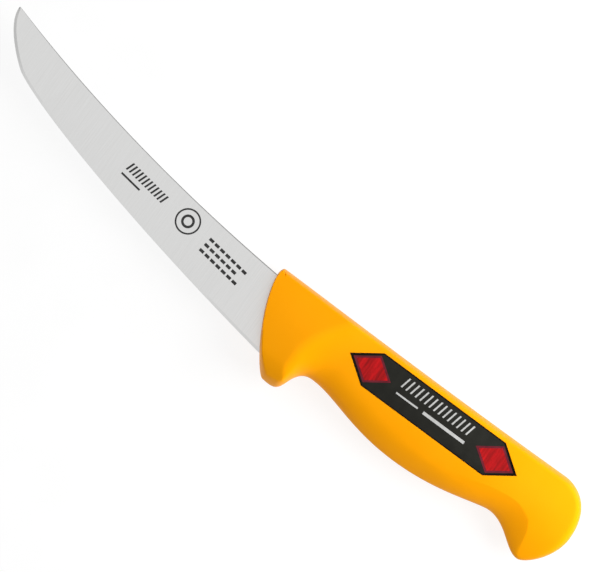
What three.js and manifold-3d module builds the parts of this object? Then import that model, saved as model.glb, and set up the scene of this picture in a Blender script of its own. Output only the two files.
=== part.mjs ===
// Curved boning knife, millimetres, +Z up. The knife lies flat on its side: +X runs from the blade's tip
// to the butt of the handle, +Y from the cutting edge to the back, and +Z through the knife's thickness.
// The parts are drawn from a datum where the handle's front meets its back line (x = 0, y = 0) in the
// knife's middle plane (z = 0). The group then moves the whole knife, so that its origin is the middle of
// its box at the surface it lies on.

import * as THREE from "three";
import { mergeVertices } from "three/addons/utils/BufferGeometryUtils.js";
import Module from "manifold-3d";

const { lerp, clamp, degToRad } = THREE.MathUtils;

// ---- Driving dimensions: blade ----
const TIP = { x: -126.95, y: 18.6 };
const SPINE_END = { x: 14, y: -3.9 };
const SPINE_ARM = { x: -62.6, y: 0.1 };
const TIP_ARM = { x: -127.6, y: 11 };
const KNEE_ARM_IN = { x: -114.3, y: 1.2 };
const EDGE_KNEE = { x: -113.1, y: 0.5 };
const KNEE_ARM_OUT = { x: -97, y: -7.8 };
const HEEL_ARM = { x: -39.5, y: -20.9 };
const EDGE_END = { x: 12.5, y: -28.9 };
const STOCK_HALF = 1.0;
const EDGE_HALF = 0.2;
const GRIND_SLOPE = 0.0323;
const TAPER_LENGTH = 32;
const BEVEL_WIDTH = 1.0;
const TIP_LAND = 0.5;
const BLADE_STATIONS = 44;

// ---- Driving dimensions: tang, the part of the blade inside the handle ----
const TANG = { start: 9, end: 104, top: -6.5, bottom: -20.5, endTop: -9, endBottom: -18, corner: 3 };
const TANG_HOLES = [36, 62, 88];
const TANG_HOLE_Y = -13.5;
const TANG_HOLE_RADIUS = 3.2;

// ---- Driving dimensions: handle ----
const GRIP = { half: 9.3, middleY: -9.75, backCrown: 0.009, bellyCrown: 0.014 };
const NECK = { drop: 0.45, from: 28, to: 56 };
const BUTT = { drop: 0.8, from: 118, to: 135.2 };
const COLLAR = { half: 12, topY: -12.7, crown: 0.008, slope: 0.06, noseFall: 0.03 };
const CREST = { x: 19.75, bendY: -21, bend: 0.025, noseY: -25.5, noseBend: 0.09, steepen: 4, ease: 12 };
const CORE_Y = -14.5;
const OUTLINE_STEP = 3.2;
const ROUNDING_ANGLES = [8, 24, 42, 62, 90];
const CORE_FRACTIONS = [0.2, 0.4, 0.6, 0.8, 0.93];
const LEAST_STEEPNESS = 0.35;
const MOST_ROUNDING = 0.75;

// ---- Driving dimensions: label plates and their inlays ----
const LABEL = { x: 71.45, y: -9.8, length: 71, flat: 51.8, height: 13.65, thick: 1.0, top: 8.64 };
const INLAY = { offset: 26.1, length: 15.9, height: 11.2, thick: 0.6, top: 8.73 };

// ---- Clearance between neighbouring parts, and how finely curves are drawn ----
const CLEARANCE = 0.2;
const CURVE_SEGMENTS = 16;
const MERGE_DISTANCE = 1e-3;

// The handle's outline seen from the side, as a closed chain of cubic curves. It runs along the back to
// the butt, round the butt and its hook, forward along the belly, round the finger guard and up the front.
// heading is the direction of travel in degrees, armIn and armOut are the lengths of the curve's arms
// before and after the point, and core is where on the handle's core line the surface rises to.
const OUTLINE = [
  { x: 1.0, y: 0.1, heading: 0, armIn: 0.8, armOut: 17, core: 13 },
  { x: 121.6, y: 0.1, heading: 1, armIn: 55, armOut: 3, core: 112 },
  { x: 135.2, y: -16, heading: -88, armIn: 14.5, armOut: 8.7, core: 118 },
  { x: 125, y: -32.8, heading: 186, armIn: 3, armOut: 5, core: 117 },
  { x: 106.8, y: -25.1, heading: 183, armIn: 8, armOut: 4, core: 108 },
  { x: 79.5, y: -30.6, heading: 185.5, armIn: 13, armOut: 25.5, core: 79.5 },
  { x: 30.9, y: -25.2, heading: 181, armIn: 11.5, armOut: 5, core: 27 },
  { x: 24.2, y: -32.1, heading: -112, armIn: 2, armOut: 3, core: 17.5 },
  { x: 17.1, y: -35.2, heading: 173, armIn: 5, armOut: 3, core: 15 },
  { x: -0.2, y: -2.6, heading: 94, armIn: 12.5, armOut: 1.3, core: 13 },
];

// The points where the outline's front meets the back, and where it meets the butt.
const FRONT_POINT = 9;
const BUTT_POINT = 2;

// How the edge is rounded along the outline, at places in the chain (2.5 is halfway along the curve from
// point 2 to point 3): how far in from the outline, how square (2 is an ellipse), and the share of the
// thickness by which the finger hollow near the butt still falls where it meets the flat.
const EDGE = [
  { at: 0, round: 1.5, power: 2, hollow: 0 },
  { at: 1, round: 2.3, power: 2, hollow: 0 },
  { at: 2, round: 4.2, power: 3, hollow: 0 },
  { at: 3, round: 1.5, power: 3, hollow: 0 },
  { at: 3.3, round: 5, power: 2.8, hollow: 0.26 },
  { at: 3.6, round: 9.2, power: 2.8, hollow: 0.32 },
  { at: 4, round: 7.8, power: 2.8, hollow: 0.24 },
  { at: 4.6, round: 7.4, power: 2.2, hollow: 0 },
  { at: 5, round: 7.2, power: 1.85, hollow: 0 },
  { at: 6, round: 10.4, power: 2.7, hollow: 0 },
  { at: 6.6, round: 3.1, power: 2.3, hollow: 0 },
  { at: 7, round: 2, power: 2, hollow: 0 },
  { at: 7.5, round: 3.2, power: 1.8, hollow: 0 },
  { at: 8, round: 2.5, power: 1.7, hollow: 0 },
  { at: 8.4, round: 0.9, power: 1.9, hollow: 0 },
  { at: 9, round: 0.8, power: 2, hollow: 0 },
  { at: 10, round: 1.5, power: 2, hollow: 0 },
];

const wasm = await Module();
wasm.setup();

// ---- Solids ----

function solidOf(geometry) {
  const bare = geometry.clone();
  bare.deleteAttribute("normal");
  bare.deleteAttribute("uv");
  const merged = mergeVertices(bare, MERGE_DISTANCE);
  const vertProperties = new Float32Array(merged.attributes.position.array);
  const triVerts = new Uint32Array(merged.index.array);
  return new wasm.Manifold(new wasm.Mesh({ numProp: 3, vertProperties, triVerts }));
}

function geometryOf(solid) {
  const mesh = solid.getMesh();
  const geometry = new THREE.BufferGeometry();
  geometry.setAttribute("position", new THREE.BufferAttribute(mesh.vertProperties, 3));
  geometry.setIndex(new THREE.BufferAttribute(mesh.triVerts, 1));
  geometry.computeVertexNormals();
  return geometry;
}

function indexedGeometry(vertices, faces) {
  const geometry = new THREE.BufferGeometry();
  geometry.setAttribute("position", new THREE.Float32BufferAttribute(vertices.flat(), 3));
  geometry.setIndex(faces.flat());
  return geometry;
}

function plate(shape, low, high) {
  const options = { depth: high - low, bevelEnabled: false, curveSegments: CURVE_SEGMENTS };
  return new THREE.ExtrudeGeometry(shape, options).translate(0, 0, low);
}

function polygon(corners) {
  return new THREE.Shape(corners.map(([x, y]) => new THREE.Vector2(x, y)));
}

// ---- Blade ----

function vector({ x, y }) {
  return new THREE.Vector2(x, y);
}

function spineCurve() {
  return new THREE.QuadraticBezierCurve(vector(TIP), vector(SPINE_ARM), vector(SPINE_END));
}

function cubic(...points) {
  return new THREE.CubicBezierCurve(...points.map(vector));
}

function edgeCurve() {
  const path = new THREE.CurvePath();
  path.add(cubic(TIP, TIP_ARM, KNEE_ARM_IN, EDGE_KNEE));
  path.add(cubic(EDGE_KNEE, KNEE_ARM_OUT, HEEL_ARM, EDGE_END));
  return path;
}

// Each ground face is one plane, whose height over the middle plane grows with the distance from a
// straight line drawn through the knee and the heel of the cutting edge. It tapers off near the tip.
function grindHalf(place) {
  const knee = vector(EDGE_KNEE);
  const along = vector(EDGE_END).sub(knee).normalize();
  const offset = place.clone().sub(knee);
  const rise = GRIND_SLOPE * (along.x * offset.y - along.y * offset.x);
  const taper = clamp((place.x - TIP.x) / TAPER_LENGTH, 0, 1);
  return EDGE_HALF + rise * (1 - (1 - taper) ** 2);
}

// One slice across the blade, as the five corners of its section: the spine and the shoulder of the
// cutting bevel on each face, and the cutting edge. grow moves every face outwards, for the slot.
function bladeSlice(spine, edge, grow) {
  const across = edge.clone().sub(spine).normalize();
  const top = spine.clone().addScaledVector(across, -grow);
  const shoulder = edge.clone().addScaledVector(across, -BEVEL_WIDTH);
  const bottom = edge.clone().addScaledVector(across, 3 * grow);
  const topHalf = grindHalf(top) + grow;
  const shoulderHalf = grindHalf(shoulder) + grow;
  return [
    [top.x, top.y, topHalf],
    [shoulder.x, shoulder.y, shoulderHalf],
    [bottom.x, bottom.y, 0],
    [shoulder.x, shoulder.y, -shoulderHalf],
    [top.x, top.y, -topHalf],
  ];
}

function groundBlade(grow) {
  const spine = spineCurve();
  const edge = edgeCurve();
  const slices = [];
  for (let station = 0; station <= BLADE_STATIONS; station += 1) {
    const part = station / BLADE_STATIONS;
    const onSpine = lerp(TIP_LAND / spine.getLength(), 1, part);
    const onEdge = lerp(TIP_LAND / edge.getLength(), 1, part);
    slices.push(bladeSlice(spine.getPointAt(onSpine), edge.getPointAt(onEdge), grow));
  }
  return lofted(slices);
}

// A closed body through slices with the same number of corners, closed by a flat fan at each end.
function lofted(slices) {
  const corners = slices[0].length;
  const faces = [];
  for (let slice = 0; slice < slices.length - 1; slice += 1) {
    for (let corner = 0; corner < corners; corner += 1) {
      const here = slice * corners + corner;
      const next = slice * corners + ((corner + 1) % corners);
      faces.push([here, next, next + corners], [here, next + corners, here + corners]);
    }
  }
  const last = (slices.length - 1) * corners;
  for (let corner = 1; corner < corners - 1; corner += 1) {
    faces.push([0, corner + 1, corner], [last, last + corner, last + corner + 1]);
  }
  return indexedGeometry(slices.flat(), faces);
}

function tangPlate(grow) {
  const { start, end, top, bottom, endTop, endBottom } = TANG;
  const corner = TANG.corner + grow;
  const shape = new THREE.Shape();
  shape.moveTo(start - grow, bottom - grow);
  shape.lineTo(end - corner, endBottom - grow);
  shape.quadraticCurveTo(end + grow, endBottom - grow, end + grow, endBottom + corner);
  shape.lineTo(end + grow, endTop - corner);
  shape.quadraticCurveTo(end + grow, endTop + grow, end - corner, endTop + grow);
  shape.lineTo(start - grow, top + grow);
  shape.closePath();
  for (const x of TANG_HOLES) {
    const hole = new THREE.Path();
    hole.absarc(x, TANG_HOLE_Y, TANG_HOLE_RADIUS - grow, 0, 2 * Math.PI, true);
    shape.holes.push(hole);
  }
  return plate(shape, -STOCK_HALF - grow, STOCK_HALF + grow);
}

function bladeSolid(grow) {
  return solidOf(groundBlade(grow)).add(solidOf(tangPlate(grow)));
}

// ---- Handle ----

// Places along the outline, each with its place in the chain and the point on the core line it rises to.
function outlineSamples() {
  const arm = (knot, length) => {
    const heading = degToRad(knot.heading);
    return vector(knot).add(new THREE.Vector2(Math.cos(heading), Math.sin(heading)).multiplyScalar(length));
  };
  return OUTLINE.flatMap((knot, index) => {
    const next = OUTLINE[(index + 1) % OUTLINE.length];
    const curve = cubic(knot, arm(knot, knot.armOut), arm(next, -next.armIn), next);
    const steps = Math.max(2, Math.round(curve.getLength() / OUTLINE_STEP));
    return curve.getSpacedPoints(steps).slice(0, -1).map((place, step) => ({
      place,
      at: index + step / steps,
      core: new THREE.Vector2(lerp(knot.core, next.core, step / steps), CORE_Y),
    }));
  });
}

// How the edge is rounded at a place in the chain.
function edgeAt(at) {
  const next = EDGE.findIndex((stop, index) => index > 0 && at <= stop.at);
  const [before, after] = [EDGE[next - 1], EDGE[next]];
  const part = (at - before.at) / (after.at - before.at);
  return {
    round: lerp(before.round, after.round, part),
    power: lerp(before.power, after.power, part),
    hollow: lerp(before.hollow, after.hollow, part),
  };
}

// Half the handle's thickness away from its rounded edges: a grip that is crowned from its middle line to
// both edges, thins a little at the neck and falls off at the butt, and a collar in front of it that falls
// to the nose of the finger guard.
function plateauHalf({ x, y }) {
  const neck = NECK.drop * (1 - clamp((x - NECK.from) / (NECK.to - NECK.from), 0, 1)) ** 2;
  const butt = BUTT.drop * (Math.max(0, x - BUTT.from) / (BUTT.to - BUTT.from)) ** 2;
  const crown = y > GRIP.middleY ? GRIP.backCrown : GRIP.bellyCrown;
  const grip = GRIP.half - crown * (y - GRIP.middleY) ** 2 - neck - butt;
  const nose = Math.max(0, CREST.noseY - y) ** 2;
  const crest = CREST.x + CREST.bend * Math.max(0, y - CREST.bendY) ** 2 + CREST.noseBend * nose;
  const front = COLLAR.slope * Math.max(0, crest - x);
  const collar = COLLAR.half - COLLAR.crown * (y - COLLAR.topY) ** 2 - front - COLLAR.noseFall * nose;
  return lerp(collar, grip, shoulderFall(x - crest));
}

// The collar's rear shoulder steepens over one width behind its crest, and eases out over another.
function shoulderFall(behind) {
  const width = CREST.steepen + CREST.ease;
  const at = clamp(behind, 0, width);
  if (at < CREST.steepen) return at ** 2 / (CREST.steepen * width);
  return 1 - (width - at) ** 2 / (CREST.ease * width);
}

// How far a place is from the outline, and the nearest place in the chain.
function nearestOnOutline(place, samples) {
  let nearest = { distance: Infinity, at: 0 };
  samples.forEach((sample, index) => {
    const next = samples[(index + 1) % samples.length];
    const side = next.place.clone().sub(sample.place);
    const part = clamp(place.clone().sub(sample.place).dot(side) / side.lengthSq(), 0, 1);
    const distance = place.distanceTo(sample.place.clone().addScaledVector(side, part));
    const nextAt = next.at > sample.at ? next.at : OUTLINE.length;
    if (distance < nearest.distance) nearest = { distance, at: lerp(sample.at, nextAt, part) };
  });
  return nearest;
}

// Half the handle's thickness anywhere inside the outline.
function surfaceHalf(place, samples) {
  const { distance, at } = nearestOnOutline(place, samples);
  const { round, power, hollow } = edgeAt(at);
  const left = 1 - Math.min(1, distance / round);
  return plateauHalf(place) * (1 - left ** power) ** (1 / power) * (1 - hollow * left);
}

// How far along the way to the core the edge's rounding reaches. Where that way leaves the outline at a
// slant, it's longer.
function roundingReach(sample, index, samples) {
  const before = samples.at(index - 1).place;
  const after = samples[(index + 1) % samples.length].place;
  const travel = after.clone().sub(before).normalize();
  const way = sample.core.clone().sub(sample.place);
  const steepness = Math.max(LEAST_STEEPNESS, (travel.y * way.x - travel.x * way.y) / way.length());
  return Math.min(edgeAt(sample.at).round / steepness, MOST_ROUNDING * way.length());
}

// The handle's surface is a set of rings between the outline and the core line. The outline itself lies
// in the middle plane, and every other ring is there twice, above and below it.
function ringPlaces(samples) {
  const rounded = ROUNDING_ANGLES.map((angle) => samples.map((sample, index) => {
    const depth = roundingReach(sample, index, samples) * (1 - Math.cos(degToRad(angle)));
    return sample.place.clone().lerp(sample.core, depth / sample.place.distanceTo(sample.core));
  }));
  const edge = rounded.at(-1);
  const inner = CORE_FRACTIONS.map((fraction) => (
    samples.map(({ core }, index) => edge[index].clone().lerp(core, fraction))
  ));
  return [...rounded, ...inner];
}

function handleBlank() {
  const samples = outlineSamples();
  const count = samples.length;
  const rings = ringPlaces(samples);
  const vertices = samples.map(({ place }) => [place.x, place.y, 0]);
  const faces = [];
  for (const side of [1, -1]) {
    let outer = 0;
    for (const ring of rings) {
      const inner = vertices.length;
      vertices.push(...ring.map((place) => [place.x, place.y, side * surfaceHalf(place, samples)]));
      for (let here = 0; here < count; here += 1) {
        const next = (here + 1) % count;
        faces.push(facing(side, [outer + here, inner + here, inner + next]));
        faces.push(facing(side, [outer + here, inner + next, outer + next]));
      }
      outer = inner;
    }
    faces.push(...coreStrip(samples).map((corners) => facing(side, corners.map((corner) => outer + corner))));
  }
  return indexedGeometry(vertices, faces);
}

function facing(side, [a, b, c]) {
  return side > 0 ? [a, b, c] : [a, c, b];
}

// Triangles that join the last ring's run along the back to its run along the belly.
function coreStrip(samples) {
  const count = samples.length;
  const front = samples.findIndex(({ at }) => at >= FRONT_POINT);
  const butt = samples.findIndex(({ at }) => at >= BUTT_POINT);
  const run = (steps, way) => Array.from({ length: steps + 1 }, (_, step) => (front + way * step + count) % count);
  const back = run((butt - front + count) % count, 1);
  const belly = run((front - butt + count) % count, -1);
  const faces = [];
  while (back.length > 1 || belly.length > 1) {
    const backIsNext = back.length > 1 && samples[back[1]].core.x <= samples[belly.at(1) ?? belly[0]].core.x;
    const corners = backIsNext || belly.length === 1
      ? [back.shift(), belly[0], back[0]]
      : [back[0], belly.shift(), belly[0]];
    if (new Set(corners).size === 3) faces.push(corners);
  }
  return faces;
}

function handleGeometry() {
  let solid = solidOf(handleBlank()).subtract(bladeSolid(CLEARANCE));
  const floor = LABEL.top - LABEL.thick - CLEARANCE;
  for (const turn of SIDES.map((side) => side.turn)) {
    const recess = plate(labelShape(CLEARANCE), floor, COLLAR.half).rotateX(turn);
    solid = solid.subtract(solidOf(recess.translate(LABEL.x, LABEL.y, 0)));
  }
  return geometryOf(solid);
}

// ---- Label plates and inlays, drawn round the label's centre and laid on one side of the handle ----

const SIDES = [
  { name: "upper", turn: 0 },
  { name: "under", turn: Math.PI },
];

function labelShape(grow) {
  const [tip, corner, half] = [LABEL.length / 2 + grow, LABEL.flat / 2, LABEL.height / 2 + grow];
  return polygon([[-tip, 0], [-corner, -half], [corner, -half], [tip, 0], [corner, half], [-corner, half]]);
}

function inlayShape(centre, grow) {
  const [tip, half] = [INLAY.length / 2 + grow, INLAY.height / 2 + grow];
  return polygon([[centre - tip, 0], [centre, -half], [centre + tip, 0], [centre, half]]);
}

const INLAY_CENTRES = { front: -INLAY.offset, rear: INLAY.offset };

function labelGeometry() {
  let solid = solidOf(plate(labelShape(0), LABEL.top - LABEL.thick, LABEL.top));
  const floor = INLAY.top - INLAY.thick - CLEARANCE;
  for (const centre of Object.values(INLAY_CENTRES)) {
    solid = solid.subtract(solidOf(plate(inlayShape(centre, CLEARANCE), floor, INLAY.top)));
  }
  return geometryOf(solid);
}

function inlayGeometry(centre) {
  return plate(inlayShape(centre, 0), INLAY.top - INLAY.thick, INLAY.top);
}

// ---- Materials ----

const steel = { color: 0xd9d9d7, roughness: 0.3, metalness: 1 };
const yellowPlastic = { color: 0xf79e07, roughness: 0.4, metalness: 0 };
const charcoalPlastic = { color: 0x23231f, roughness: 0.5, metalness: 0 };
const redPlastic = { color: 0xa4141f, roughness: 0.42, metalness: 0 };

function piece(name, geometry, finish) {
  const mesh = new THREE.Mesh(geometry, new THREE.MeshStandardMaterial(finish));
  mesh.name = name;
  return mesh;
}

function onLabelSide(mesh, side) {
  mesh.position.set(LABEL.x, LABEL.y, 0);
  mesh.rotation.x = side.turn;
  return mesh;
}

// ---- Assembly ----

const group = new THREE.Group();
group.add(piece("blade", geometryOf(bladeSolid(0)), steel));
group.add(piece("handle", handleGeometry(), yellowPlastic));
for (const side of SIDES) {
  group.add(onLabelSide(piece(`label_plate_${side.name}`, labelGeometry(), charcoalPlastic), side));
  for (const [end, centre] of Object.entries(INLAY_CENTRES)) {
    group.add(onLabelSide(piece(`inlay_${side.name}_${end}`, inlayGeometry(centre), redPlastic), side));
  }
}

const box = new THREE.Box3().setFromObject(group);
const centre = box.getCenter(new THREE.Vector3());
group.position.set(-centre.x, -centre.y, -box.min.z);

export default group;
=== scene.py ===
"""The looks of a curved boning knife that lies flat on its side on a pale studio floor."""

import math

import bpy
import numpy as np
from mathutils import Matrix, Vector


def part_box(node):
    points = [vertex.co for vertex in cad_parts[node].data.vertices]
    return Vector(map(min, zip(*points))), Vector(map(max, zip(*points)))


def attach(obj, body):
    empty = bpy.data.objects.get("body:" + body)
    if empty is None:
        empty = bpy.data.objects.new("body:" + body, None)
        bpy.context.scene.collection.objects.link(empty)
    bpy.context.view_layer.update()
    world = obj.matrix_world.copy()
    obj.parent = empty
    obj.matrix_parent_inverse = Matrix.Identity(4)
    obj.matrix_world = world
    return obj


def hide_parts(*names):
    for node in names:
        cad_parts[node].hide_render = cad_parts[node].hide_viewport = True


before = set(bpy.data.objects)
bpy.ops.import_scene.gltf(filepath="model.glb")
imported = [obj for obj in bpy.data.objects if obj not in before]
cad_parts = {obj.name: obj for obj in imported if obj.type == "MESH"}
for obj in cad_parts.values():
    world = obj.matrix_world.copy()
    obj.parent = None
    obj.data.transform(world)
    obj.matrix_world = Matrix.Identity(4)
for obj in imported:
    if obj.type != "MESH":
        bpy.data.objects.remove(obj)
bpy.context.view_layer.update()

# All drawing is in millimetres from the datum where the handle's front meets its back line, in the
# knife's middle plane: +X runs to the butt, +Y to the knife's back, +Z up through its thickness.
MM = 0.001

# ---- Curves ----
CURVE_SAMPLES, BLADE_SAMPLES = 400, 600


def cubic(start, start_arm, end_arm, end, t):
    t = t[:, None]
    return ((1 - t) ** 3 * start + 3 * (1 - t) ** 2 * t * start_arm
            + 3 * (1 - t) * t**2 * end_arm + t**3 * end)


def lengths_along(curve):
    """How far along a densely drawn curve each of its points lies."""
    return np.concatenate([[0], np.cumsum(np.linalg.norm(np.diff(curve, axis=0), axis=1))])


def places_along(curve, length, at):
    """The points of a densely drawn curve at the distances at along it."""
    return np.stack([np.interp(at, length, curve[:, axis]) for axis in (0, 1)], 1)


def stops(table, place):
    """Values at places between a table's (place, value) stops."""
    return np.interp(place, [stop[0] for stop in table], [stop[1] for stop in table])


# ---- Handle ----
# The outline seen from the side, as a closed chain of cubic curves: x, y, heading in degrees, arm
# before and arm after the point, and the place on the core line that the surface rises to.
OUTLINE = (
    (1.0, 0.1, 0, 0.8, 17, 13),
    (121.6, 0.1, 1, 55, 3, 112),
    (135.2, -16, -88, 14.5, 8.7, 118),
    (125, -32.8, 186, 3, 5, 117),
    (106.8, -25.1, 183, 8, 4, 108),
    (79.5, -30.6, 185.5, 13, 25.5, 79.5),
    (30.9, -25.2, 181, 11.5, 5, 27),
    (24.2, -32.1, -112, 2, 3, 17.5),
    (17.1, -35.2, 173, 5, 3, 15),
    (-0.2, -2.6, 94, 12.5, 1.3, 13),
)
OUTLINE_STEP = 0.4
# The core line runs along the handle, to the points at these places in the chain.
CORE_Y, BUTT_PLACE, FRONT_PLACE = -14.5, 2, 9
# The surface is rings of points between the outline and the core line: some over the rounded edge,
# which keeps to a share of the way in, and some over the face. The last one stops short of the core.
ROUNDING_RINGS, INNER_RINGS, LAST_RING_SHARE = 14, 26, 0.985
LEAST_STEEPNESS, ROUNDING_SHARE = 0.35, 0.75
# Along the outline, as (place in the chain, value): how far in the edge is rounded, how square the
# rounding is, and how steeply the finger hollow near the butt still falls where it meets the flat.
ROUND_STOPS = (
    (0, 1.5), (1, 2.3), (1.5, 2.9), (2, 4.2), (3, 1.5), (3.1, 1.7), (3.3, 5), (3.45, 7.5),
    (3.6, 9.2), (3.8, 9), (4, 7.8), (5, 7.2), (6, 10.4), (6.6, 3.1), (7, 2.0), (7.5, 3.2),
    (8, 2.5), (8.25, 1.1), (8.5, 0.5), (9, 0.35), (9.9, 0.5), (10, 1.5),
)
POWER_STOPS = (
    (0, 2), (1, 2), (2, 3), (3, 3), (3.3, 2.8), (4, 2.8), (5, 1.85), (6, 2.7), (7, 2),
    (8, 1.7), (9, 2.1), (10, 2),
)
HOLLOW_STOPS = ((0, 0), (3, 0), (3.3, 0.26), (3.7, 0.32), (4.1, 0.22), (4.6, 0), (10, 0))
# Half the thickness: the grip is crowned from its middle line to both edges, thins a little towards
# the collar, and falls off at the butt. The collar stands above it, and falls to the guard's nose.
GRIP_HALF, MIDDLE_Y, BACK_CROWN, BELLY_CROWN = 9.3, -9.75, 0.009, 0.014
NECK_DROP, NECK_FROM, NECK_TO = 0.45, 28, 56
BUTT_DROP, BUTT_FROM, BUTT_END = 0.8, 118, 135.2
COLLAR_HALF, COLLAR_TOP_Y, COLLAR_CROWN, COLLAR_SLOPE = 12.0, -12.7, 0.008, 0.06
# The collar's rear shoulder: a crest line that bends back towards the knife's back and at the nose,
# and behind it a fall that steepens over one width and eases out over another.
CREST_X, CREST_BEND_Y, CREST_BEND = 19.75, -21, 0.025
NOSE_Y, NOSE_BEND, NOSE_FALL = -25.5, 0.09, 0.03
CREST_STEEPEN, CREST_EASE = 4, 12
# How many points are measured against the outline at once.
POINTS_AT_A_TIME = 2000
HANDLE_SHARP_DEGREES = 40


def outline():
    """The outline's points, each one's place in the chain and its x on the core line."""
    places, chain, core = [], [], []
    for index, knot in enumerate(OUTLINE):
        after = OUTLINE[(index + 1) % len(OUTLINE)]
        start, end = (np.array(point[:2], float) for point in (knot, after))
        leaving, arriving = (np.array([math.cos(turn), math.sin(turn)])
                             for turn in (math.radians(knot[2]), math.radians(after[2])))
        curve = cubic(start, start + leaving * knot[4], end - arriving * after[3], end,
                      np.linspace(0, 1, CURVE_SAMPLES))
        length = lengths_along(curve)
        count = max(2, round(length[-1] / OUTLINE_STEP))
        share = np.arange(count) / count
        places.append(places_along(curve, length, share * length[-1]))
        chain.append(index + share)
        core.append(knot[5] + (after[5] - knot[5]) * share)
    return np.concatenate(places), np.concatenate(chain), np.concatenate(core)


def nearest_on(points, line, chain):
    """For each point, the distance to the closed line and the place in the chain nearest to it."""
    ahead = np.roll(line, -1, 0) - line
    step = np.roll(chain, -1) - chain
    step[-1] = len(OUTLINE) - chain[-1]
    distance, place = np.empty(len(points)), np.empty(len(points))
    for first in range(0, len(points), POINTS_AT_A_TIME):
        few = slice(first, first + POINTS_AT_A_TIME)
        part = points[few, None]
        along = ((part - line) * ahead).sum(2) / (ahead**2).sum(1)
        along = np.clip(along, 0, 1)
        gap = np.linalg.norm(part - line - along[..., None] * ahead, axis=2)
        best = gap.argmin(1)
        rows = np.arange(len(best))
        distance[few] = gap[rows, best]
        place[few] = chain[best] + along[rows, best] * step[best]
    return distance, place


def plateau_half(x, y):
    """Half the thickness away from the rounded edges: a crowned grip, and the collar before it."""
    neck = NECK_DROP * (1 - np.clip((x - NECK_FROM) / (NECK_TO - NECK_FROM), 0, 1)) ** 2
    butt = BUTT_DROP * (np.maximum(0, x - BUTT_FROM) / (BUTT_END - BUTT_FROM)) ** 2
    crown = np.where(y > MIDDLE_Y, BACK_CROWN, BELLY_CROWN)
    grip = GRIP_HALF - crown * (y - MIDDLE_Y) ** 2 - neck - butt
    nose = np.maximum(0, NOSE_Y - y) ** 2
    crest = CREST_X + CREST_BEND * np.maximum(0, y - CREST_BEND_Y) ** 2 + NOSE_BEND * nose
    collar = (COLLAR_HALF - COLLAR_CROWN * (y - COLLAR_TOP_Y) ** 2
              - COLLAR_SLOPE * np.maximum(0, crest - x) - NOSE_FALL * nose)
    width = CREST_STEEPEN + CREST_EASE
    behind = np.clip(x - crest, 0, width)
    steep = behind**2 / CREST_STEEPEN
    eased = width - (width - behind) ** 2 / CREST_EASE
    fallen = np.where(behind < CREST_STEEPEN, steep, eased) / width
    return collar + (grip - collar) * fallen


def surface_half(points, line, chain):
    """Half the thickness at points inside the outline."""
    distance, place = nearest_on(points, line, chain)
    left = 1 - np.minimum(1, distance / stops(ROUND_STOPS, place))
    power = stops(POWER_STOPS, place)
    rounding = (1 - left**power) ** (1 / power)
    hollow = 1 - stops(HOLLOW_STOPS, place) * left
    return plateau_half(points[:, 0], points[:, 1]) * rounding * hollow


def handle_surface():
    """The handle as vertices and triangles: rings from the middle plane up and down to the core."""
    line, chain, core_x = outline()
    count = len(line)
    core = np.stack([core_x, np.full(count, CORE_Y)], 1)
    travel = np.roll(line, -1, 0) - np.roll(line, 1, 0)
    inward = np.stack([travel[:, 1], -travel[:, 0]], 1) / np.linalg.norm(travel, axis=1)[:, None]
    reach = np.linalg.norm(core - line, axis=1)
    ray = (core - line) / reach[:, None]
    steepness = np.maximum(LEAST_STEEPNESS, (ray * inward).sum(1))
    rounding = np.minimum(stops(ROUND_STOPS, chain) / steepness, ROUNDING_SHARE * reach)
    rings = []
    for angle in np.linspace(0, math.pi / 2, ROUNDING_RINGS + 1)[1:]:
        rings.append(line + ray * (rounding * (1 - math.cos(angle)))[:, None])
    edge = rings[-1]
    for share in np.linspace(0, 1, INNER_RINGS + 1)[1:]:
        rings.append(edge + (core - edge) * min(share, LAST_RING_SHARE))
    heights = surface_half(np.concatenate(rings), line, chain).reshape(len(rings), count)

    vertices = [np.column_stack([line, np.zeros(count)])]
    faces = []
    here = np.arange(count)
    after = (here + 1) % count
    for side in (1, -1):
        outer, inner = 0, len(vertices) * count
        for ring, height in zip(rings, heights):
            vertices.append(np.column_stack([ring, side * height]))
            band = np.stack([outer + here, inner + here, inner + after, outer + after], 1)
            for half in (band[:, :3], band[:, [0, 2, 3]]):
                faces.extend(half[:, ::side].tolist())
            outer, inner = inner, inner + count
        for face in core_strip(chain, core_x):
            faces.append([outer + corner for corner in face[::side]])
    return np.concatenate(vertices), faces


def core_strip(chain, core_x):
    """Triangles that join the last ring's run along the back to its run along the belly."""
    count = len(chain)
    front, butt = (int(np.searchsorted(chain, place)) for place in (FRONT_PLACE, BUTT_PLACE))
    back = [(front + step) % count for step in range((butt - front) % count + 1)]
    belly = [(front - step) % count for step in range((front - butt) % count + 1)]
    faces, a, b = [], 0, 0
    while a < len(back) - 1 or b < len(belly) - 1:
        if b == len(belly) - 1 or (a < len(back) - 1
                                   and core_x[back[a + 1]] <= core_x[belly[b + 1]]):
            corners = [back[a], belly[b], back[a + 1]]
            a += 1
        else:
            corners = [back[a], belly[b], belly[b + 1]]
            b += 1
        if len(set(corners)) == 3:
            faces.append(corners)
    return faces


# ---- Making and placing pieces ----
SHARP_DEGREES = 30


def find_datum():
    """The datum in the row frame: the handle's outline fits the handle's box."""
    line = outline()[0]
    low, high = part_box("handle")
    x, y = (high.x - line[:, 0].max() * MM, high.y - line[:, 1].max() * MM)
    return np.array([x, y, (low.z + high.z) / 2])


DATUM = find_datum()


def to_row(points):
    """Millimetres from the datum to metres in the row frame."""
    return np.asarray(points, float) * MM + DATUM


def link_to_scene(name, data):
    thing = bpy.data.objects.new(name, data)
    bpy.context.scene.collection.objects.link(thing)
    return thing


def smooth(mesh, sharp_degrees):
    """Shades a mesh smooth, but for the edges whose faces meet at more than an angle."""
    mesh.polygons.foreach_set("use_smooth", [True] * len(mesh.polygons))
    mesh.set_sharp_from_angle(angle=math.radians(sharp_degrees))


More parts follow.
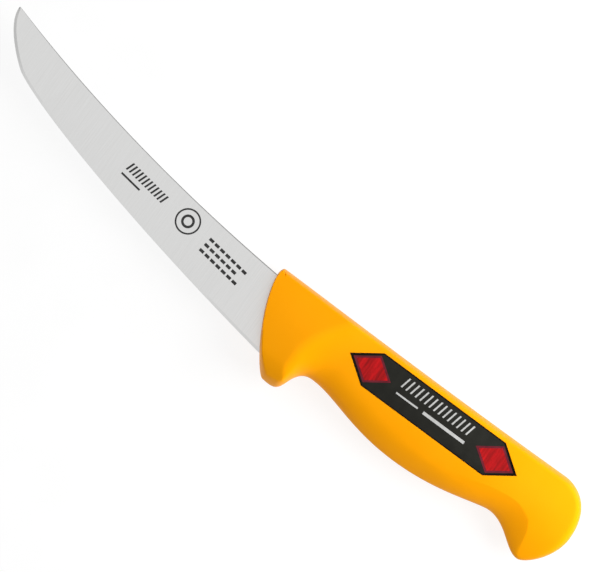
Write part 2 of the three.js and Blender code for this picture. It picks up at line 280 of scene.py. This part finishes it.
def new_piece(name, vertices, faces, material):
    """An object in the scene from vertices in millimetres and faces."""
    mesh = bpy.data.meshes.new(name)
    mesh.from_pydata(to_row(vertices).tolist(), [], [list(face) for face in faces])
    mesh.update()
    smooth(mesh, SHARP_DEGREES)
    mesh.materials.append(material)
    return link_to_scene(name, mesh)


def add_piece(name, body, material, slot, *nodes):
    """A piece of the knife, in place of the CAD nodes that it draws."""
    piece = new_piece(name, *body, material)
    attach(piece, "root")
    if nodes:
        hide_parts(*nodes)


def combine(target, tool, operation):
    """Cuts the tool out of the target, or joins it on, and removes the tool."""
    modifier = target.modifiers.new("combine", "BOOLEAN")
    modifier.operation = operation
    modifier.solver = "EXACT"
    modifier.object = tool
    graph = bpy.context.evaluated_depsgraph_get()
    graph.update()
    mesh = bpy.data.meshes.new_from_object(target.evaluated_get(graph))
    target.modifiers.clear()
    target.data = mesh
    bpy.data.objects.remove(tool)


# ---- Closed bodies, as vertices and faces ----


def loft_faces(slices, corners):
    """Faces of a closed body through slices with the same number of corners each."""
    last = (slices - 1) * corners
    faces = [list(reversed(range(corners))), list(range(last, last + corners))]
    for start in range(0, last, corners):
        for corner in range(corners):
            after = (corner + 1) % corners
            faces.append([start + corner, start + after, start + corners + after,
                          start + corners + corner])
    return faces


def inset(polygon, depth):
    """The polygon with every side moved inwards by depth."""
    polygon = np.asarray(polygon, float)
    side = np.roll(polygon, -1, 0) - polygon
    side = side / np.linalg.norm(side, axis=1)[:, None]
    normal = np.stack([-side[:, 1], side[:, 0]], 1)
    before = np.roll(normal, 1, 0)
    return polygon + depth * (normal + before) / (1 + (normal * before).sum(1))[:, None]


def prism(polygon, levels):
    """A body on a polygon, counterclockwise from above, through (inset, z) levels, lowest first."""
    rows = [np.column_stack([inset(polygon, depth), np.full(len(polygon), z)])
            for depth, z in levels]
    return np.concatenate(rows), loft_faces(len(levels), len(polygon))


def bar(x0, x1, y0, y1, slant, low, high):
    """A flat bar whose upper side is moved along by slant."""
    return prism([(x0, y0), (x1, y0), (x1 + slant, y1), (x0 + slant, y1)], ((0, low), (0, high)))


def frame_ring(outside, inside, low, high):
    """A flat ring between two polygons with the same number of corners."""
    rows = [np.column_stack([polygon, np.full(len(polygon), z)])
            for polygon, z in ((outside, low), (outside, high), (inside, high), (inside, low))]
    count = len(outside)
    faces = []
    for row in range(len(rows)):
        here, there = row * count, (row + 1) % len(rows) * count
        for corner in range(count):
            after = (corner + 1) % count
            faces.append([here + corner, here + after, there + after, there + corner])
    return np.concatenate(rows), faces


def circle(radius, sides):
    turn = np.linspace(0, 2 * math.pi, sides, endpoint=False)
    return radius * np.stack([np.cos(turn), np.sin(turn)], 1)


def joined(*bodies):
    """Several bodies as one set of vertices and faces."""
    vertices, faces, start = [], [], 0
    for body_vertices, body_faces in bodies:
        vertices.append(body_vertices)
        faces.extend([[start + corner for corner in face] for face in body_faces])
        start += len(body_vertices)
    return np.concatenate(vertices), faces


# ---- Blade ----
# The back is one curve with a single arm for both its ends. The edge runs from the tip round a knee
# to the heel.
TIP = np.array([-126.95, 18.6])
SPINE_ARM, SPINE_END = np.array([-62.6, 0.1]), np.array([14, -3.9])
TIP_ARM, KNEE_ARM_IN = np.array([-127.6, 11]), np.array([-114.3, 1.2])
KNEE = np.array([-113.1, 0.5])
KNEE_ARM_OUT, HEEL_ARM = np.array([-97, -7.8]), np.array([-39.5, -20.9])
EDGE_END = np.array([12.5, -28.9])
# The first section across the blade stands off the tip by a land.
BLADE_STATIONS, TIP_LAND = 220, 0.3
# Half the thickness of the tang and of the blade above its edge, the slope of the ground face, and
# how far from the tip the blade starts to thin.
STOCK_HALF, EDGE_HALF, GRIND_SLOPE, TAPER_LENGTH = 1.0, 0.2, 0.0323, 32
# Each section across the blade: the spine's corner is rounded by a share of the half thickness, the
# face starts a margin below it, and the bevel closes to the edge. Near the tip, all three keep to
# shares of the blade's width.
SPINE_ROUNDING, SPINE_ARC_STEPS, SPINE_WIDTH_SHARE = 0.6, 12, 0.25
FACE_MARGIN, MARGIN_WIDTH_SHARE = 0.25, 0.35
BEVEL_WIDTH, BEVEL_WIDTH_SHARE = 1.0, 0.6
BLADE_SHARP_DEGREES = 8
TANG_OUTLINE = ((9, -20.5), (101, -18), (104, -15), (104, -12), (101, -9), (9, -6.5))
TANG_HOLES, TANG_HOLE_Y, TANG_HOLE_RADIUS, HOLE_SIDES = (36, 62, 88), -13.5, 3.2, 48


def grind_half(points):
    """The ground face's height over the middle plane: it rises from the edge, and falls at the tip."""
    along = (EDGE_END - KNEE) / np.linalg.norm(EDGE_END - KNEE)
    offset = points - KNEE
    rise = GRIND_SLOPE * (along[0] * offset[:, 1] - along[1] * offset[:, 0])
    taper = np.clip((points[:, 0] - TIP[0]) / TAPER_LENGTH, 0, 1)
    return EDGE_HALF + rise * (1 - (1 - taper) ** 2)


def blade_stations(curve):
    """Points evenly spaced along a curve, from the land at the tip to its end."""
    length = lengths_along(curve)
    return places_along(curve, length, np.linspace(TIP_LAND, length[-1], BLADE_STATIONS))


def blade_surface():
    """The blade as vertices and faces: sections across it, lofted from the tip to the heel."""
    t = np.linspace(0, 1, BLADE_SAMPLES)
    top = blade_stations(cubic(TIP, TIP / 3 + SPINE_ARM * 2 / 3, SPINE_END / 3 + SPINE_ARM * 2 / 3,
                               SPINE_END, t))
    bottom = blade_stations(np.concatenate([cubic(TIP, TIP_ARM, KNEE_ARM_IN, KNEE, t),
                                            cubic(KNEE, KNEE_ARM_OUT, HEEL_ARM, EDGE_END, t)[1:]]))
    width = np.linalg.norm(bottom - top, axis=1)
    across = (bottom - top) / width[:, None]
    radius = np.minimum(SPINE_ROUNDING * grind_half(top), SPINE_WIDTH_SHARE * width)
    corners = []
    for turn in np.linspace(0, math.pi / 2, SPINE_ARC_STEPS + 1):
        place = top + across * (radius * (1 - math.cos(turn)))[:, None]
        corners.append((place, grind_half(place) - radius * (1 - math.sin(turn))))
    margin = np.minimum(radius + FACE_MARGIN, MARGIN_WIDTH_SHARE * width)
    bevel = np.minimum(BEVEL_WIDTH, BEVEL_WIDTH_SHARE * width)
    for depth in (margin, width - bevel):
        place = top + across * depth[:, None]
        corners.append((place, grind_half(place)))
    under = [(place, -half) for place, half in reversed(corners)]
    corners += [(bottom, np.zeros(BLADE_STATIONS))] + under
    slices = np.stack([np.column_stack(corner) for corner in corners], 1)
    return slices.reshape(-1, 3), loft_faces(BLADE_STATIONS, len(corners))


def make_blade(material):
    """The blade with its hidden tang, whose holes the handle's plastic fills."""
    blade = new_piece("blade_ground", *blade_surface(), material)
    tang = new_piece("tang", *prism(TANG_OUTLINE, ((0, -STOCK_HALF), (0, STOCK_HALF))), material)
    rim = circle(TANG_HOLE_RADIUS, HOLE_SIDES)
    for x in TANG_HOLES:
        hole = prism(rim + (x, TANG_HOLE_Y), ((0, -2 * STOCK_HALF), (0, 2 * STOCK_HALF)))
        combine(tang, new_piece("hole", *hole, material), "DIFFERENCE")
    combine(blade, tang, "UNION")
    smooth(blade.data, BLADE_SHARP_DEGREES)
    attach(blade, "root")
    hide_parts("blade")


# ---- Label panels, drawn about the label's centre ----
LABEL_X, LABEL_Y, LABEL_LENGTH, LABEL_FLAT, LABEL_HEIGHT = 71.45, -9.8, 71, 51.8, 13.65
LABEL_TOP, LABEL_THICK = 8.64, 1.0
RECESS_GAP, RECESS_TOP = 0.09, COLLAR_HALF + 1
# The panel's edges are broken above and below, and a black border and the marks are printed on it.
PANEL_BREAK, PANEL_BREAK_MIDDLE = 0.1, 0.03
# The black border is printed; its extra width towards the tips is painted shade of the recess.
BORDER_LENGTH_WITH_SHADE, BORDER_FLAT, BORDER_HEIGHT, INK_THICK = 2.6, 0.65, 0.7, 0.03
INLAY_OFFSET, INLAY_LENGTH, INLAY_HEIGHT, INLAY_TOP, INLAY_THICK = 26.1, 15.9, 11.2, 8.73, 0.6
RIM_WIDTH, RIM_DROP = 0.72, 0.04
RIM_ANGLE = math.atan2(INLAY_HEIGHT, INLAY_LENGTH)
RIB_PITCH, RIB_DEPTH, RIB_STEPS = 1.15, 0.05, 8
# The marks are slanting stripes over two bars, each bar as x from, x to, y from, y to.
STRIPES, STRIPES_FROM, STRIPES_TO, STRIPE_WIDTH, STRIPE_SLANT = 15, -14.7, 14.3, 0.6, 0.9
STRIPE_LOW, STRIPE_HIGH = 1.0, 5.1
MARK_BARS = ((-14.7, -5.5, -1.9, -1.3), (-3.2, 14.3, -2.2, -1.1))


def label_polygon(off_length=0.0, off_flat=0.0, off_height=0.0):
    """The panel's outline, or one inside it that is smaller by some length, flat and height."""
    tip = (LABEL_LENGTH - off_length) / 2
    corner = (LABEL_FLAT - off_flat) / 2
    half = (LABEL_HEIGHT - off_height) / 2
    return [(-tip, 0), (-corner, -half), (corner, -half), (tip, 0), (corner, half), (-corner, half)]


def lozenge(centre, length, height):
    """A lozenge's corners, counterclockwise from above."""
    return [(centre - length / 2, 0), (centre, -height / 2), (centre + length / 2, 0),
            (centre, height / 2)]


def on_side(body, side):
    """A body moved to the label's place, on the upper (1) or the under (-1) side of the handle."""
    vertices, faces = body
    return vertices * (1, side, side) + (LABEL_X, LABEL_Y, 0), faces


def label_panel():
    low, high = LABEL_TOP - LABEL_THICK, LABEL_TOP
    levels = ((PANEL_BREAK, low), (0, low + PANEL_BREAK), (0, high - PANEL_BREAK),
              (PANEL_BREAK_MIDDLE, high - PANEL_BREAK_MIDDLE), (PANEL_BREAK, high))
    return prism(label_polygon(), levels)


def ribbed_lozenge(centre):
    """The red field of an inlay: a lozenge topped by soft ribs that run across the handle."""
    half_length = INLAY_LENGTH / 2 - RIM_WIDTH / math.sin(RIM_ANGLE)
    half_height = half_length * INLAY_HEIGHT / INLAY_LENGTH
    columns = 2 * int(half_length / RIB_PITCH * RIB_STEPS) + 1
    x = np.linspace(-half_length, half_length, columns)[1:-1]
    y = half_height * (1 - np.abs(x) / half_length)
    top = INLAY_TOP - RIB_DEPTH * (0.5 - 0.5 * np.cos(2 * math.pi * x / RIB_PITCH))
    low = np.full(len(x), INLAY_TOP - INLAY_THICK)
    rows = [np.column_stack([x + centre, side * y, z])
            for side, z in ((-1, low), (1, low), (1, top), (-1, top))]
    return np.stack(rows, 1).reshape(-1, 3), loft_faces(len(x), len(rows))


def printed_marks():
    """Plain stripes and two bars in the middle of the panel."""
    low, high = LABEL_TOP - INK_THICK, LABEL_TOP + INK_THICK
    places = np.linspace(STRIPES_FROM, STRIPES_TO - STRIPE_SLANT - STRIPE_WIDTH, STRIPES)
    stripes = [bar(x, x + STRIPE_WIDTH, STRIPE_LOW, STRIPE_HIGH, STRIPE_SLANT, low, high)
               for x in places]
    bars = [bar(*place, 0, low, high) for place in MARK_BARS]
    return joined(*stripes, *bars)


def make_label(side_name, side, looks):
    """One label panel with its black border, its printed marks and its two red inlays."""
    add_piece(f"label_panel_{side_name}", on_side(label_panel(), side), looks["charcoal"],
              "label_plastic", f"label_plate_{side_name}")
    # A printed black border, drawn wider towards the tips as painted shade of the deeper recess.
    border_and_shade = frame_ring(inset(label_polygon(), PANEL_BREAK),
                        label_polygon(BORDER_LENGTH_WITH_SHADE, BORDER_FLAT, BORDER_HEIGHT),
                        LABEL_TOP - INK_THICK, LABEL_TOP + INK_THICK)
    add_piece(f"label_border_and_shade_{side_name}", on_side(border_and_shade, side), looks["black"], "label_plastic")
    add_piece(f"label_print_{side_name}", on_side(printed_marks(), side), looks["white"],
              "label_plastic")
    for end, centre in (("front", -INLAY_OFFSET), ("rear", INLAY_OFFSET)):
        add_piece(f"inlay_field_{side_name}_{end}", on_side(ribbed_lozenge(centre), side),
                  looks["red"], "inlay_plastic", f"inlay_{side_name}_{end}")
        around = lozenge(centre, INLAY_LENGTH, INLAY_HEIGHT)
        rim = frame_ring(around, inset(around, RIM_WIDTH), INLAY_TOP - INLAY_THICK,
                         INLAY_TOP - RIM_DROP)
        add_piece(f"inlay_rim_{side_name}_{end}", on_side(rim, side), looks["maroon"],
                  "inlay_plastic")


def make_handle(material):
    """The handle's moulding, with a recess for the label panel in each side."""
    handle = new_piece("handle_moulding", *handle_surface(), material)
    wider = inset(label_polygon(), -RECESS_GAP)
    recess = prism(wider, ((0, LABEL_TOP - LABEL_THICK - RECESS_GAP), (0, RECESS_TOP)))
    for side in (1, -1):
        combine(handle, new_piece("recess", *on_side(recess, side), material), "DIFFERENCE")
    smooth(handle.data, HANDLE_SHARP_DEGREES)
    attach(handle, "root")
    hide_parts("handle")


# ---- Etched marks ----
# They are drawn along the blade, from z = 0 to 1, then turned about the rings' centre and laid on
# the blade's upper face. A dash starts wherever at least a clear length is left in its row.
ETCH_TURN, ETCH_THICK = math.radians(-8), 0.02
ETCH_PIVOT, ETCH_PLACE = np.array([-36.0, 0.0]), np.array([-36.0, -6.7])
TICKS, TICKS_FROM, TICKS_TO, TICK_WIDTH, TICK_SLANT = 12, -64.2, -47.9, 0.7, 0.7
TICK_LOW, TICK_HIGH = -2.1, 1.3
TICK_LINE = (-64.2, -55.5, -4.4, -3.7)
RINGS, RING_SIDES = ((4.6, 4.0), (2.4, 1.5)), 96
DASHES_FROM, DASHES_TO, DASHES_CLEAR = -26.4, (-7.6, -10.0, -8.2), 1.5
DASH_PITCH, DASH_LENGTH, DASH_HEIGHT = 2.6, 1.9, 1.1
DASH_ROWS_TOP, DASH_ROW_PITCH = 1.6, 2.5


def etched_marks():
    """A group of ticks over a line, two rings, and three rows of dashes."""
    parts = [bar(x, x + TICK_WIDTH, TICK_LOW, TICK_HIGH, TICK_SLANT, 0, 1)
             for x in np.linspace(TICKS_FROM, TICKS_TO, TICKS)]
    parts.append(bar(*TICK_LINE, 0, 0, 1))
    for outer, inner in RINGS:
        parts.append(frame_ring(ETCH_PIVOT + circle(outer, RING_SIDES),
                                ETCH_PIVOT + circle(inner, RING_SIDES), 0, 1))
    for row, end in enumerate(DASHES_TO):
        high = DASH_ROWS_TOP - row * DASH_ROW_PITCH
        for x in np.arange(DASHES_FROM, end - DASHES_CLEAR, DASH_PITCH):
            parts.append(bar(x, x + DASH_LENGTH, high - DASH_HEIGHT, high, 0, 0, 1))
    vertices, faces = joined(*parts)
    x, y = (vertices[:, :2] - ETCH_PIVOT).T
    cosine, sine = math.cos(ETCH_TURN), math.sin(ETCH_TURN)
    flat = np.column_stack([x * cosine - y * sine, x * sine + y * cosine]) + ETCH_PLACE
    height = grind_half(flat) + (vertices[:, 2] - 0.5) * 2 * ETCH_THICK
    return np.column_stack([flat, height]), faces


# ---- Looks ----
# Each colour is a pair, as linear red, green and blue, that a noise wanders between. The scale of a
# noise is how often it repeats in a metre.
YELLOW = (0.9, 0.332, 0.0), (0.92, 0.347, 0.001)
STEEL_FACES = (0.845, 0.845, 0.838), (0.905, 0.905, 0.898)
# The spine's colour is painted shade: a darker copy of the steel for faces that stand upright.
STEEL_SPINE_PAINTED_SHADE = (0.36, 0.36, 0.355), (0.42, 0.42, 0.415)
CHARCOAL = (0.0145, 0.0145, 0.012), (0.0175, 0.0175, 0.0145)
BLACK = (0.004, 0.003, 0.002), (0.007, 0.005, 0.004)
WHITE = (0.40, 0.40, 0.39), (0.47, 0.47, 0.46)
RED = (0.24, 0.0065, 0.0075), (0.43, 0.0075, 0.0095)
MAROON = (0.10, 0.010, 0.018), (0.14, 0.016, 0.026)
ETCHED_GREY = (0.035, 0.035, 0.035), (0.05, 0.05, 0.05)
PAPER = (0.17, 0.17, 0.17), (0.19, 0.19, 0.19)
PAPER_GLOW = 0.84
# The texture of the ground faces is drawn out across the blade.
GRIND_STRETCH, GRIND_TURN = (3, 0.08, 1), math.radians(13)
# A face counts as broad when it lies flatter than this, from not at all to fully.
BROAD_FROM, BROAD_TO = 0.7, 0.9
ROUGHNESS_WANDER = 0.04


class Look:
    """A node material with one principled shader."""

    def __init__(self, name, **constants):
        self.material = bpy.data.materials.new(name)
        self.material.use_nodes = True
        self.tree = self.material.node_tree
        self.shader = self.tree.nodes["Principled BSDF"]
        for socket, value in constants.items():
            self.shader.inputs[socket.replace("_", " ")].default_value = value
        coordinates = self.tree.nodes.new("ShaderNodeTexCoord")
        self.place, self.facing = coordinates.outputs["Object"], coordinates.outputs["Normal"]

    def link(self, output, target):
        self.tree.links.new(output, target)

    def noise(self, scale, detail, stretch=(1, 1, 1), turn=0.0):
        mapping = self.tree.nodes.new("ShaderNodeMapping")
        mapping.inputs["Scale"].default_value = stretch
        mapping.inputs["Rotation"].default_value = (0, 0, turn)
        node = self.tree.nodes.new("ShaderNodeTexNoise")
        node.inputs["Scale"].default_value = scale
        node.inputs["Detail"].default_value = detail
        self.link(self.place, mapping.inputs["Vector"])
        self.link(mapping.outputs["Vector"], node.inputs["Vector"])
        return node.outputs["Fac"]

    def ramp(self, source, colours, source_low=0.3, source_high=0.7):
        """From one colour to the other as the source rises."""
        node = self.tree.nodes.new("ShaderNodeValToRGB")
        ends = zip(node.color_ramp.elements, (source_low, source_high), colours)
        for end, position, colour in ends:
            end.position, end.color = position, (*colour, 1)
        self.link(source, node.inputs["Fac"])
        return node.outputs["Color"]

    def spread(self, source, low, high, source_low=0.3, source_high=0.7):
        """From low to high as the source rises."""
        node = self.tree.nodes.new("ShaderNodeMapRange")
        for socket, value in (("From Min", source_low), ("From Max", source_high), ("To Min", low),
                              ("To Max", high)):
            node.inputs[socket].default_value = value
        self.link(source, node.inputs["Value"])
        return node.outputs["Result"]

    def flatness(self):
        """How flat a face lies: 1 on the broad faces, 0 on faces that stand upright."""
        parts = self.tree.nodes.new("ShaderNodeSeparateXYZ")
        size = self.tree.nodes.new("ShaderNodeMath")
        size.operation = "ABSOLUTE"
        self.link(self.facing, parts.inputs["Vector"])
        self.link(parts.outputs["Z"], size.inputs[0])
        return size.outputs["Value"]

    def mix(self, share, first, second):
        node = self.tree.nodes.new("ShaderNodeMix")
        node.data_type = "RGBA"
        colour_inputs = [socket for socket in node.inputs if socket.type == "RGBA"]
        self.link(share, node.inputs["Factor"])
        self.link(first, colour_inputs[0])
        self.link(second, colour_inputs[1])
        return next(socket for socket in node.outputs if socket.type == "RGBA")

    def bump(self, height, strength, distance):
        node = self.tree.nodes.new("ShaderNodeBump")
        node.inputs["Strength"].default_value = strength
        node.inputs["Distance"].default_value = distance
        self.link(height, node.inputs["Height"])
        self.link(node.outputs["Normal"], self.shader.inputs["Normal"])

    def colour(self, output):
        self.link(output, self.shader.inputs["Base Color"])

    def roughness(self, output):
        self.link(output, self.shader.inputs["Roughness"])


def yellow_plastic():
    look = Look("yellow_plastic", Metallic=0.0, IOR=1.49, Specular_IOR_Level=0.06)
    look.colour(look.ramp(look.noise(scale=60, detail=4), YELLOW))
    look.roughness(look.spread(look.noise(scale=350, detail=3), low=0.36, high=0.44))
    look.bump(look.noise(scale=2600, detail=3), strength=0.12, distance=0.00004)
    return look.material


def ground_steel():
    """Ground steel on the blade's broad faces, and a darker copy on the spine as painted shade."""
    look = Look("ground_steel", Metallic=1.0)
    grind = look.noise(scale=900, detail=3, stretch=GRIND_STRETCH, turn=GRIND_TURN)
    broad = look.spread(look.flatness(), 0, 1, BROAD_FROM, BROAD_TO)
    # Faces that stand upright, mostly the spine, take the darker copy: painted shade.
    look.colour(look.mix(broad, look.ramp(grind, STEEL_SPINE_PAINTED_SHADE), look.ramp(grind, STEEL_FACES)))
    look.roughness(look.spread(grind, low=0.285, high=0.335))
    look.bump(grind, strength=0.05, distance=0.00001)
    return look.material


def plain_look(name, colours, roughness, scale=300, stretch=(1, 1, 1)):
    """A satin surface whose colour wanders a little, with a fine grain."""
    look = Look(name, Metallic=0.0, IOR=1.48, Specular_IOR_Level=0.08)
    wander = look.noise(scale, detail=4, stretch=stretch)
    look.colour(look.ramp(wander, colours, source_low=0.35, source_high=0.65))
    look.roughness(look.spread(look.noise(scale=500, detail=3), roughness - ROUGHNESS_WANDER,
                               roughness + ROUGHNESS_WANDER))
    look.bump(look.noise(scale=1800, detail=2), strength=0.1, distance=0.00003)
    return look.material


def label_looks():
    return {
        "charcoal": plain_look("charcoal_plastic", CHARCOAL, 0.5),
        "black": plain_look("black_border_and_shade", BLACK, 0.45),
        "white": plain_look("white_print", WHITE, 0.5),
        "red": plain_look("red_plastic", RED, 0.42, scale=700, stretch=(1, 0.16, 1)),
        "maroon": plain_look("maroon_rim", MAROON, 0.45),
    }


def floor_paper():
    look = Look("floor_paper", Metallic=0.0, Roughness=0.9, Specular_IOR_Level=0.0,
                Emission_Strength=PAPER_GLOW, Emission_Color=(1, 1, 1, 1))
    look.colour(look.ramp(look.noise(scale=30, detail=3), PAPER))
    return look.material


# ---- Studio ----
# The camera looks straight down, turned so that the knife lies across the picture. The view's width
# and centre are in millimetres from the datum, and the rest is in metres in the row frame.
CAMERA_TURN = math.radians(36.5)
CAMERA_LENS, SENSOR_WIDTH, VIEW_WIDTH, VIEW_CENTRE = 200, 36, 205.87, (7.75, -2.13)
CLIP_NEAR, CLIP_FAR = 0.05, 20
KEY_PLACE, KEY_TARGET, KEY_SIZE, KEY_POWER = (0.28, 0.12, 0.21), (0.06, 0, 0.01), 0.34, 1.76
# How bright the studio is at each height, from the horizon (0) to straight overhead (1).
SKY = ((0.0, 0.95), (0.07, 0.95), (0.12, 0.31), (0.72, 0.31), (0.88, 0.80), (1.0, 0.82))
FLOOR_HALF = 4.0


def make_camera():
    data = bpy.data.cameras.new("camera")
    data.lens, data.sensor_width = CAMERA_LENS, SENSOR_WIDTH
    data.clip_start, data.clip_end = CLIP_NEAR, CLIP_FAR
    camera = link_to_scene("camera", data)
    camera.location = to_row((*VIEW_CENTRE, VIEW_WIDTH * CAMERA_LENS / SENSOR_WIDTH))
    camera.rotation_euler = (0, 0, CAMERA_TURN)
    bpy.context.scene.camera = camera


def make_world():
    world = bpy.data.worlds.new("studio")
    bpy.context.scene.world = world
    world.use_nodes = True
    tree = world.node_tree
    background = tree.nodes["Background"]
    place = tree.nodes.new("ShaderNodeTexCoord")
    parts = tree.nodes.new("ShaderNodeSeparateXYZ")
    ramp = tree.nodes.new("ShaderNodeValToRGB")
    tree.links.new(place.outputs["Generated"], parts.inputs["Vector"])
    tree.links.new(parts.outputs["Z"], ramp.inputs["Fac"])
    tree.links.new(ramp.outputs["Color"], background.inputs["Color"])
    elements = ramp.color_ramp.elements
    elements[0].position, elements[-1].position = SKY[0][0], SKY[-1][0]
    for position, _ in SKY[1:-1]:
        elements.new(position)
    for element, (_, level) in zip(elements, SKY):
        element.color = (level, level, level, 1)
    background.inputs["Strength"].default_value = 1.0


def make_key_light():
    """One broad light. It isn't mirrored in the steel, which would turn as white as the floor."""
    data = bpy.data.lights.new("key", "AREA")
    data.shape, data.size, data.energy = "DISK", KEY_SIZE, KEY_POWER
    light = link_to_scene("key", data)
    light.location = KEY_PLACE
    light.visible_glossy = False
    towards = Vector(KEY_TARGET) - Vector(KEY_PLACE)
    light.rotation_euler = towards.to_track_quat("-Z", "Y").to_euler()


def make_floor():
    mesh = bpy.data.meshes.new("floor")
    corners = [(x, y, 0) for x, y in ((-FLOOR_HALF, -FLOOR_HALF), (FLOOR_HALF, -FLOOR_HALF),
                                      (FLOOR_HALF, FLOOR_HALF), (-FLOOR_HALF, FLOOR_HALF))]
    mesh.from_pydata(corners, [], [(0, 1, 2, 3)])
    mesh.materials.append(floor_paper())
    floor = link_to_scene("floor", mesh)


make_camera()
make_world()
make_key_light()
make_floor()
make_blade(ground_steel())
make_handle(yellow_plastic())
looks = label_looks()
for side_name, side in (("upper", 1), ("under", -1)):
    make_label(side_name, side, looks)
etched_grey = plain_look("etched_grey", ETCHED_GREY, 0.6)
add_piece("etched_marks", etched_marks(), etched_grey, "blade_steel")
bpy.context.scene.view_settings.view_transform = "Standard"
